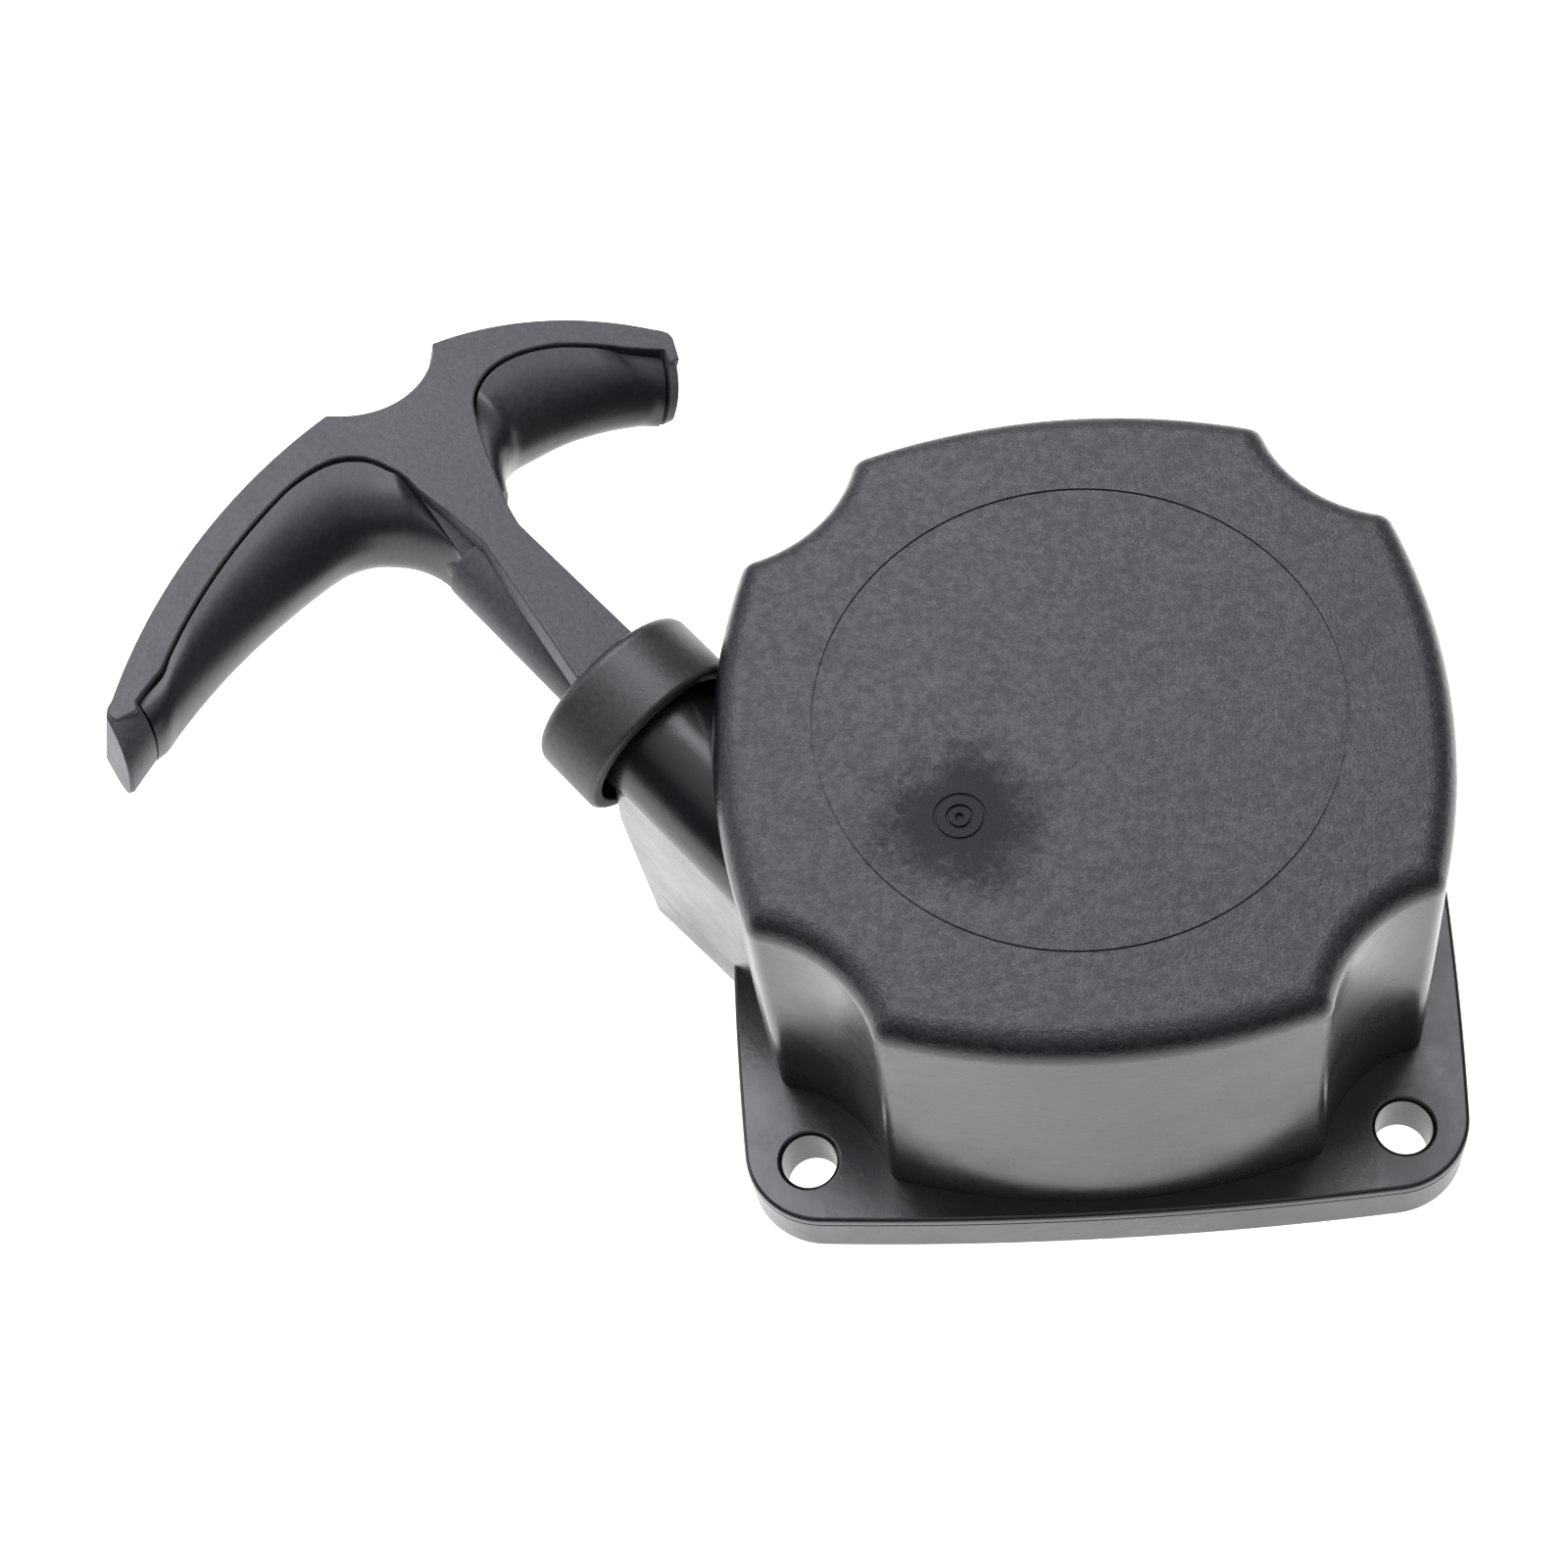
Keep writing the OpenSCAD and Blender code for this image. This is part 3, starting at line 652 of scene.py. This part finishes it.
@dataclass
class Housing:
    """The moulding: dome, flange with bolt holes, rope nozzle and what stands inside the dome."""

    line: PullLine
    dome: DomePlan = field(default_factory=DomePlan)
    flange: FlangePlan = field(default_factory=FlangePlan)
    top: float = 50.0
    top_r: float = 3.4
    wall: float = 2.4
    ceiling: float = 47.5
    flange_h: float = 8.2
    flange_edge: float = 0.55
    seam_at: float = 6.7
    bolt_at: float = 35.0
    bolt_r: float = 3.3
    nozzle_r: float = 8.0
    channel_r: float = 4.5
    tube_end: float = 31.0
    box_end: float = 39.4
    collar_from: float = 25.0
    groove_r: float = 29.6
    post_r: float = 5.2
    post_from: float = 14.2
    post_bore_r: float = 3.4
    spring_from: float = 39.7
    spring_wall: Point = (29.9, 32.0)
    boss_at: float = 31.0
    boss_r: float = 2.6
    boss_hole_r: float = 1.05
    dome_corner: float = 2.2
    flange_corner: float = 9.5
    boss_clear_r: float = 6.2
    gate_grooves: tuple[Point, ...] = ((2.75, 0.22), (1.35, 0.30))
    side_wall: float = 6.3

    def dome_body(self) -> Solid:
        """The dome's outside, leaning in to a rounded top edge."""
        rings = [(0.3, 0.0, 0.0), (self.top - self.top_r, 1.0, 0.0)]
        for step in range(1, 13):
            t = math.radians(7.5 * step)
            rings.append((self.top - self.top_r * (1 - math.sin(t)), 1.0, self.top_r * (1 - math.cos(t))))
        return Solid().stack([[(x, y, z) for x, y in self.dome.outline(share, inset, self.dome_corner - 0.4 * inset)]
                              for z, share, inset in rings])

    def flange_body(self) -> Solid:
        """The flange, with a fine seam below its rounded top edge."""
        edge, h, s = self.flange_edge, self.flange_h, self.seam_at
        rings = [(0.0, 0.25), (0.25, 0.0), (s, 0.0), (s + 0.08, 0.22), (s + 0.20, 0.22), (s + 0.28, 0.02)]
        rings += [(h - edge * (1 - math.sin(t)), 0.02 + edge * (1 - math.cos(t)))
                  for t in (math.radians(18 * k) for k in range(6))]
        return Solid().stack([[(x, y, z) for x, y in self.flange.outline(inset, self.flange_corner - inset)]
                              for z, inset in rings])

    def nozzle_body(self) -> Solid:
        """The tube with its two walls down to the flange."""
        r = self.nozzle_r
        section = [*arc((0, 0), r, -10, 190, 40), (-self.side_wall, -48), (self.side_wall, -48)]
        body = Solid().stack([[(x, y, z) for y, z in section] for x in (-4, self.collar_from - 0.3)])
        body.place(self.line.pull())
        body.slice(*self.line.plane(self.box_end))
        return body.slice((0, 0, 0), (0, 0, -1))

    def nozzle_hollow(self) -> Solid:
        """The open space between the nozzle's walls."""
        r, s, w = self.nozzle_r, self.side_wall, self.wall
        section = [(-r + w, -12), (-s + w, -60), (s - w, -60), (r - w, -12)]
        body = Solid().stack([[(x, y, z) for y, z in section] for x in (0, self.collar_from)]).place(self.line.pull())
        return body.slice(*self.line.plane(self.box_end - w)).slice(*self.line.plane(20, -1))

    def flange_pocket(self) -> Solid:
        """The hollows under the flange, beside the dome's foot and the bolt bosses."""
        body = Solid().prism(self.flange.outline(self.wall, 7), -1, self.flange_h - 3)
        body.join(Solid().prism(self.dome.outline(0, -0.8, self.dome_corner), -2, self.flange_h), Join.CUT)
        for x, y in self.corners():
            boss = Solid().cylinder(self.boss_clear_r, -2, 9, 48)
            body.join(boss.place(Matrix.Translation((x, y, 0))), Join.CUT)
        block = Solid().prism([(-10, -9), (50, -9), (50, 9), (-10, 9)], -60, 0).place(self.line.pull())
        return body.join(block, Join.CUT)

    def corners(self) -> list[Point]:
        """Centres of the four bolt holes."""
        return [(x * self.bolt_at, y * self.bolt_at) for x in (-1, 1) for y in (-1, 1)]

    def bolt_hole(self) -> Solid:
        """A bolt hole with a rounded rim above and a small chamfer below."""
        r, h = self.bolt_r, self.flange_h
        rim = arc((r + 0.6, h - 0.6), 0.6, 180, 90, 6)
        return Solid().lathe([(0, -1), (r + 0.5, -1), (r + 0.3, 0), (r, 0.3), *rim, (r + 0.6, h + 1), (0, h + 1)], 72)

    def inside(self) -> Solid:
        """Post, spring wall and cover bosses that hang from the ceiling."""
        z0, z1 = self.spring_from - 1.2, self.ceiling + 0.5
        near, far = self.spring_wall
        body = Solid().lathe([(near, z0), (far, z0), (far, z1), (near, z1)], 96, closed=True)
        body.join(Solid().cylinder(self.post_r, self.post_from, z1, 64), Join.ADD)
        for k in range(3):
            move = Matrix.Translation((*polar((0, 0), self.boss_at, 30 + 120 * k), 0))
            body.join(Solid().cylinder(self.boss_r, z0, z1, 32).place(move), Join.ADD)
            body.join(Solid().cylinder(self.boss_hole_r, z0 - 1, z0 + 6, 24).place(move), Join.CUT)
        bore = Solid().cylinder(self.post_bore_r, self.post_from - 1, self.post_from + 14, 48)
        return body.join(bore, Join.CUT)

    def gate_mark(self) -> list[Solid]:
        """The cutters for the two ring grooves and the dimple of the moulding gate."""
        at = Matrix.Translation((*Finishes.housing.gate, self.top))
        made = [Solid().lathe([(r - 0.14, -deep), (r + 0.14, -deep), (r + 0.26, 0.3), (r - 0.26, 0.3)], 72, closed=True)
                for r, deep in self.gate_grooves]
        made.append(Solid().lathe([(0, -0.5), (0.35, -0.4), (0.6, 0.3), (0, 0.3)], 32))
        return [one.place(at) for one in made]

    def build(self) -> bpy.types.Object:
        """Joins everything into one moulding."""
        body = self.dome_body()
        body.join(self.flange_body(), Join.ADD).join(self.nozzle_body(), Join.ADD)
        body.join(self.line.rod(-4, self.tube_end, self.nozzle_r, 0.4, 96).place(self.line.pull()), Join.ADD)
        channel = self.line.rod(2, self.tube_end + 1, self.channel_r).place(self.line.pull())
        cavity = Solid().prism(self.dome.outline(1, self.wall, 1.2), -1, self.ceiling)
        for cutter in (cavity, self.flange_pocket(), self.nozzle_hollow(), channel):
            body.join(cutter, Join.CUT)
        for x, y in self.corners():
            body.join(self.bolt_hole().place(Matrix.Translation((x, y, 0))), Join.CUT)
        g, t = self.groove_r, self.top
        groove = [(g - 0.13, t - 0.22), (g + 0.13, t - 0.22), (g + 0.16, t + 0.5), (g - 0.16, t + 0.5)]
        body.join(Solid().lathe(groove, 180, closed=True), Join.CUT)
        for mark in self.gate_mark():
            body.join(mark, Join.CUT)
        body.join(self.inside(), Join.ADD)
        return body.piece("housing", "base", "housing", Finishes.housing)


@dataclass
class Collar:
    """The cup-shaped collar round the nozzle's end."""

    line: PullLine
    radius: float = 11.4
    bore: float = 6.0
    start: float = 25.0
    end: float = 34.6
    seat: float = 31.3
    wall: float = 1.8
    round_r: float = 1.5

    def build(self) -> bpy.types.Object:
        """Spins the cup's section about the rope's line."""
        r, e = self.radius, self.round_r
        rim = arc((self.bore + 0.6, self.end - 0.6), 0.6, 180, 90, 4)[:-1]
        section = [(self.bore + 0.6, self.end), *arc((r - e, self.end - e), e, 90, 0, 8),
                   *arc((r - 0.7, self.start + 0.7), 0.7, 0, -90, 5),
                   *arc((r - self.wall + 0.3, self.start + 0.3), 0.3, 270, 180, 3),
                   (r - self.wall, self.seat), (self.bore, self.seat), *rim]
        body = Solid().lathe(section, 128, closed=True)
        body.place(self.line.pull() @ Matrix.Rotation(math.pi / 2, 4, "Y"))
        return body.piece("collar", "base", "collar", Finishes.collar)


@dataclass
class Handle:
    """The T handle: a flat frame with a rounded grip under each arm, a stem and a round core on the rope."""

    line: PullLine
    thickness: float = 14.0
    rim: float = 3.8
    plug_ends: Point = (31.7, 35.2)
    stem_from: float = 34.9
    stem_to: float = 57.2
    core_to: float = 66.0
    knot_hole: Point = (62.0, 71.0)
    core_r: float = 4.3
    stem_r: float = 5.3
    plate_from: float = 4.4
    plug_r: float = 5.6
    rope_hole_r: float = 2.0
    knot_hole_r: float = 4.2
    seam_gap: float = 0.35
    edge: float = 0.32
    long_out: tuple[Point, float] = ((-7.3, -2.0), 88.0)
    long_in: tuple[Point, float] = ((-29.5, 10.8), 95.0)
    short_out: tuple[Point, float] = ((40.7, -4.6), 41.3)
    short_in: tuple[Point, float] = ((27.2, -12.7), 37.8)
    long_tip: tuple[tuple[Point, Point, float], ...] = (
        ((65.3, 46.9), (58.7, 47.2), 6.95), ((63.9, 50.0), (57.0, 51.6), 6.85), ((63.3, 50.6), (57.2, 52.1), 6.2))
    short_tip: tuple[tuple[Point, Point, float], ...] = (
        ((64.1, -35.6), (58.9, -32.8), 6.93), ((65.0, -37.2), (58.6, -34.0), 6.8), ((64.8, -37.7), (58.8, -34.3), 6.2))
    web: tuple[tuple[float, ...], ...] = (
        (69.0, 1.0, 3.0, 6.5, 6.8), (62.3, 1.0, 3.3, 5.0, 6.3), (55.3, 0.5, 3.9, 3.3, 5.0))
    web_floor: float = -4.0

    def outline(self) -> list[Point]:
        """The frame's outline, seen along its thickness."""
        lo, so, rim, x0 = self.long_out, self.short_out, self.rim, self.stem_from
        right = [(x0, -3.5), *smooth_path([(54.9, -3.1), (57.5, -3.8), (60.7, -5.1), (66.3, -7.6), (70.4, -9.8),
                                           (72.3, -11.4), (73.6, -13.6), (74.3, -16.2), (74.2, -19.2), (73.4, -22.2),
                                           polar(so[0], so[1] - rim, -33)], 4)]
        left = [*smooth_path([polar(lo[0], lo[1] - rim - 0.1, 12), (75.3, 12.5), (75.2, 9.8), (74.6, 7.6), (73.5, 5.9),
                              (72.2, 4.8), (70.7, 4.1), (68.3, 3.3), (65.3, 3.2), (61.2, 2.6), (55.5, 2)], 4), (x0, 6)]
        return [*right, *arc(so[0], so[1] - rim, -34, -46.5, 12), (63.6, -35.4), (61.8, -34.6), (61.6, -36.0),
                (64.4, -37.6), (65.4, -37.7), (66.2, -37.2),
                *arc(so[0], so[1], -50.6, -11, 26), *arc((89.3, -3.5), 12.2, -138.6, -216, 20),
                *arc(lo[0], lo[1], 4.6, 36.4, 42), (62.9, 50.5), (61.9, 50.3), (61.6, 47.6), (62.6, 47.0), (63.2, 45.4),
                *arc(lo[0], lo[1] - rim - 0.1, 31.8, 12.8, 32), *left]

    def depth(self, y: float) -> float:
        """How far the handle reaches below its middle plane; it thins towards both tips."""
        return self.thickness / 2 - max(0.0, y - 18) * 0.12 - max(0.0, -16 - y) * 0.13

    def long_lines(self) -> tuple[list[Point], list[Point]]:
        """Seam and underside of the long grip, from tip to root."""
        lo, li = self.long_out, self.long_in
        seam = [(62.9, 46.5), *arc(lo[0], lo[1] - self.rim - self.seam_gap, 32.2, 12, 11),
                (74.95, 12.4), (74.8, 9.9), (74.2, 7.9), (73.1, 6.2), (72.0, 5.15), (70.4, 4.4), (68.3, 3.6),
                (64.3, 3.6), (60.1, 3.6), (56.2, 3.9)]
        return seam, [(58.8, 46.9), *arc(li[0], li[1], 21.3, 3, 13), (65.4, 13.6), (65.1, 11.8),
                      (64.6, 10.2), (63.7, 8.4), (62.3, 6.7), (60.3, 5.1), (58.2, 4.1), (56.0, 3.5)]

    def short_lines(self) -> tuple[list[Point], list[Point]]:
        """Seam and underside of the short grip, from tip to root."""
        so, si = self.short_out, self.short_in
        seam = [(63.4, -34.9), *arc(so[0], so[1] - self.rim - self.seam_gap, -45.5, -33, 6),
                (73.05, -22.3), (73.85, -19.3), (73.95, -16.3), (73.3, -13.8), (72.1, -11.75), (70.5, -10.3),
                (66.1, -8.0), (61.2, -5.7)]
        return seam, [(59.1, -32.2), *arc(si[0], si[1], -29.5, -8, 9), *arc((58.6, -13.8), 6.4, -2, 66, 4)]

    def tip_cap(self, ends: Sequence[tuple[Point, Point, float]]) -> Solid:
        """The rounded wall that closes the end of an arm, past the end of its grip."""
        return Solid().stack([self.section(seam, under, height) for seam, under, height in ends])

    def frame(self) -> bpy.types.Object:
        """The frame with its core and plug, bored for the rope and its knot."""
        outline, top = self.outline(), self.thickness / 2
        body = Solid()
        body.stack([[(x, y, -self.depth(y)) for x, y in outline], [(x, y, top) for x, y in outline]])
        body.round_edges(lambda e: abs(e.verts[0].co.z - top) < 1e-3 and abs(e.verts[1].co.z - top) < 1e-3
                         or max(v.co.z for v in e.verts) < -1, self.edge)
        body.join(Solid().prism([(30, -12), (55.4, -12), (55.4, 12), (30, 12)], -8, self.plate_from), Join.CUT)
        body.join(Solid().prism([(30, -12), (60, -12), (60, 12), (30, 12)], -8, -3.8), Join.CUT)
        body.join(self.tip_cap(self.long_tip), Join.ADD)
        body.join(self.tip_cap(self.short_tip), Join.ADD)
        floor = self.web_floor
        body.join(Solid().stack([[(x, y0, floor), (x, y1, floor), (x, y1, low), (x, y0, high)]
                                 for x, y0, y1, low, high in self.web]), Join.ADD)
        body.join(self.line.rod(*self.plug_ends, self.plug_r, 0.5), Join.ADD)
        body.join(self.line.rod(self.stem_from, self.stem_to, self.stem_r, 0.8, 96), Join.ADD)
        body.join(self.line.rod(self.stem_from, self.core_to, self.core_r, 0.5), Join.ADD)
        body.join(self.line.rod(30, 63, self.rope_hole_r, 0, 32), Join.CUT)
        r, (x0, x1) = self.knot_hole_r, self.knot_hole
        body.join(self.line.rod(x0, x1, r, 0, 48), Join.CUT)
        body.join(Solid().prism([(x0, -r), (x1, -r), (x1, r), (x0, r)], -14, 0), Join.CUT)
        return body.place(self.line.handle()).piece("handle_frame", "handle", "handle_frame", Finishes.handle)

    def section(self, seam: Point, under: Point, height: float) -> list[tuple[float, float, float]]:
        """One section of a grip: flat at the seam, round at the underside."""
        low = self.depth(seam[1]) - 0.4
        points = []
        for k in range(33):
            a = math.radians(-90 + 180 * k / 32)
            f = max(0.0, math.cos(a)) ** 0.75
            reach = (-min(height, low) if a < 0 else height) * abs(math.sin(a)) ** 0.85
            points.append((seam[0] + (under[0] - seam[0]) * f, seam[1] + (under[1] - seam[1]) * f, reach))
        return points

    def grip(self, name: str, seam: Sequence[Point], under: Sequence[Point]) -> bpy.types.Object:
        """Skins one grip through its sections, from tip to root."""
        steps = 4
        full = self.thickness / 2 - 0.4
        sections = []
        for i, (s, u) in enumerate(zip(smooth_path(seam, steps), smooth_path(under, steps))):
            root = max(0.0, i / steps - (len(seam) - 4.2))
            sections.append(self.section(s, u, full - 0.9 * (1 - min(i / steps, 4) / 4) ** 2 - root))
        body = Solid().stack(sections)
        return body.place(self.line.handle()).piece(name, "handle", name, Finishes.grip, sharp=50)

    def build(self) -> list[bpy.types.Object]:
        """The frame and both grips."""
        return [self.frame(), self.grip("grip_long", *self.long_lines()), self.grip("grip_short", *self.short_lines())]


@dataclass
class Rope:
    """The free length of rope, between the nozzle and the handle."""

    line: PullLine
    radius: float = 1.75
    start: float = 19.0
    end: float = 62.9
    rings: int = 120
    sides: int = 24
    braid_length: float = 4.0
    stretch: Point = (25.0, 61.0)

    def build(self) -> bpy.types.Object:
        """A round braid with its strands mapped along it, drawn out between the nozzle and the handle."""
        body = Solid()
        at = self.line.pull()
        shape = [(0.0, *polar((0, 0), self.radius, 360 * k / self.sides)) for k in range(self.sides)]
        rows = [[at @ Vector((self.start + (self.end - self.start) * i / self.rings, y, z)) for _, y, z in shape]
                for i in range(self.rings + 1)]
        body.stack(rows)
        inverse = at.inverted()
        uv = body.bm.loops.layers.uv.new("strands")
        for face in body.bm.faces:
            turns = []
            for loop in face.loops:
                p = inverse @ loop.vert.co
                turns.append((p.x, math.atan2(p.z, p.y) / math.tau))
            low = min(t for _, t in turns)
            for loop, (x, t) in zip(face.loops, turns):
                if low < -0.25 and t > 0.25:
                    t -= 1.0
                loop[uv].uv = (x / self.braid_length, t)
        bmesh.ops.transform(body.bm, matrix=Matrix.Scale(MM, 4), verts=body.bm.verts[:])
        data = body.mesh("rope_lead")
        data.shade_smooth()
        data.set_sharp_from_angle(angle=math.radians(40))
        made = bpy.data.objects.new("rope_free", data)
        bpy.context.scene.collection.objects.link(made)
        data.materials.append(Finishes.rope.material())
        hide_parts("rope_lead")
        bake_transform(made)
        log.info("rope_free: %d faces", len(data.polygons))
        return made


@dataclass
class Drive:
    """The carried-over pieces inside: rope, reel, spring, pawls, plate and fastenings."""

    dressed: dict[str, Finish] = field(default_factory=lambda: {
        "rope_bush": Finishes.zinc, "handle_knot": Finishes.wound, "rope_run": Finishes.wound,
        "rope_wound": Finishes.wound, "reel_knot": Finishes.wound, "reel": Finishes.reel,
        "power_spring": Finishes.spring, "spring_cover": Finishes.zinc, "cover_screws": Finishes.zinc,
        "thrust_washer": Finishes.zinc, "pawl_a": Finishes.sintered, "pawl_b": Finishes.sintered,
        "pawl_pins": Finishes.zinc, "drive_plate": Finishes.zinc, "brake_spring": Finishes.spring,
        "centre_washer": Finishes.zinc, "centre_screw": Finishes.spring, "screw_insert": Finishes.brass})

    def build(self) -> None:
        """Gives each node its finish."""
        for name, finish in self.dressed.items():
            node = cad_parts[name]
            if not node.material_slots:
                node.data.materials.append(finish.material())
            for held in node.material_slots:
                held.material = finish.material()
            log.info("%s: %s", name, finish.name)


@dataclass(frozen=True)
class Lamp:
    """A square soft light aimed at a point, in metres and watts."""

    name: str
    place: tuple[float, float, float]
    size: float
    power: float
    aim: tuple[float, float, float] = (0.0, 0.0, 0.0)


@dataclass
class Studio:
    """Camera, pale floor and soft light."""

    target: tuple[float, float, float] = (-35.90, 9.83, 20.0)
    distance: float = 341.52
    azimuth: float = 10.41
    elevation: float = 60.57
    roll: float = -13.06
    lens: float = 63.58
    light: Colour = (0.95, 0.95, 1.0)
    floor_size: float = 3.0
    floor_drop: float = 0.0002
    pool_centre: tuple[float, float, float] = (-0.035, 0.02, 0.0)
    pool_reach: Point = (0.157, 0.30)
    pool_glow: Point = (1.28, 0.30)
    ceiling_rise: Point = (0.55, 0.97)
    ceiling_glow: Point = (0.02, 1.1)
    lamps: tuple[Lamp, ...] = (
        Lamp("key", (-0.13, 0.62, 1.02), 0.9, 15.5),
        Lamp("left", (-1.0, 0.25, 0.5), 0.5, 2.5, (0.0, 0.0, 0.03)))

    def camera(self) -> bpy.types.Object:
        """The camera at its viewing angle."""
        az, el, roll = (math.radians(v) for v in (self.azimuth, self.elevation, self.roll))
        back = Vector((math.sin(az) * math.cos(el), -math.cos(az) * math.cos(el), math.sin(el)))
        right = (-back).cross(Vector((0, 0, 1))).normalized()
        up = right.cross(-back)
        across = math.cos(roll) * right + math.sin(roll) * up
        upward = -math.sin(roll) * right + math.cos(roll) * up
        data = bpy.data.cameras.new("camera")
        data.sensor_width, data.lens = 36.0, self.lens
        data.clip_start, data.clip_end = 0.01, 20.0
        made = bpy.data.objects.new("camera", data)
        place = (Vector(self.target) + back * self.distance) * MM
        made.matrix_world = Matrix.Translation(place) @ Matrix((across, upward, back)).transposed().to_4x4()
        bpy.context.scene.collection.objects.link(made)
        bpy.context.scene.camera = made
        return made

    def floor(self) -> None:
        """A bright plain floor that can be seen through from below."""
        bm = bmesh.new()
        bmesh.ops.create_grid(bm, x_segments=1, y_segments=1, size=self.floor_size)
        bmesh.ops.translate(bm, vec=(0, 0, -self.floor_drop), verts=bm.verts[:])
        data = bpy.data.meshes.new("floor")
        bm.to_mesh(data)
        bm.free()
        made = bpy.data.objects.new("floor", data)
        bpy.context.scene.collection.objects.link(made)
        g = Graph("pale floor")
        away = g.vector("LENGTH", g.vector("SUBTRACT", g.place, self.pool_centre), output="Value")
        glow = g.span(away, *self.pool_reach, *self.pool_glow)
        g.shade(Base_Color=(0.9, 0.9, 0.9, 1), Roughness=0.9, Emission_Color=(1, 1, 1, 1), Emission_Strength=glow)
        clear = g.node("ShaderNodeBsdfTransparent")
        mix = g.node("ShaderNodeMixShader")
        g.feed(mix.inputs[0], g.node("ShaderNodeNewGeometry").outputs["Backfacing"])
        g.feed(mix.inputs[1], g.shader.outputs[0])
        g.feed(mix.inputs[2], clear.outputs[0])
        g.feed(g.tree.nodes["Material Output"].inputs["Surface"], mix.outputs[0])
        data.materials.append(g.made)

    def hang(self, lamp: Lamp) -> None:
        """Puts a lamp in the scene."""
        data = bpy.data.lights.new(lamp.name, "AREA")
        data.energy, data.size, data.color = lamp.power, lamp.size, self.light
        made = bpy.data.objects.new(lamp.name, data)
        made.location = lamp.place
        made.rotation_euler = (Vector(lamp.aim) - Vector(lamp.place)).to_track_quat("-Z", "Y").to_euler()
        bpy.context.scene.collection.objects.link(made)

    def world(self) -> None:
        """Dim walls and a bright ceiling all round, seen as one pale backdrop."""
        made = bpy.data.worlds.new("studio")
        made.use_nodes = True
        tree = made.node_tree
        axes = tree.nodes.new("ShaderNodeSeparateXYZ")
        tree.links.new(tree.nodes.new("ShaderNodeTexCoord").outputs["Generated"], axes.inputs[0])
        rise = tree.nodes.new("ShaderNodeMapRange")
        limits = ("From Min", "From Max", "To Min", "To Max")
        for key, value in zip(limits, (*self.ceiling_rise, *self.ceiling_glow)):
            rise.inputs[key].default_value = value
        tree.links.new(axes.outputs["Z"], rise.inputs["Value"])
        seen = tree.nodes.new("ShaderNodeMix")
        seen.inputs["B"].default_value = 1.0
        tree.links.new(tree.nodes.new("ShaderNodeLightPath").outputs["Is Camera Ray"], seen.inputs["Factor"])
        tree.links.new(rise.outputs[0], seen.inputs["A"])
        tree.links.new(seen.outputs["Result"], tree.nodes["Background"].inputs["Strength"])
        tree.nodes["Background"].inputs["Color"].default_value = (*self.light, 1)
        bpy.context.scene.world = made

    def build(self) -> None:
        """Sets up the studio."""
        self.camera()
        self.floor()
        self.world()
        for lamp in self.lamps:
            self.hang(lamp)
        bpy.context.scene.view_settings.view_transform = "Standard"


def main() -> None:
    """Builds the studio and every sub-assembly in order."""
    logging.basicConfig(level=logging.INFO, format="%(message)s", stream=sys.stdout)
    line = PullLine()
    Studio().build()
    Housing(line).build()
    Collar(line).build()
    Handle(line).build()
    Rope(line).build()
    Drive().build()


if __name__ == "__main__":
    main()
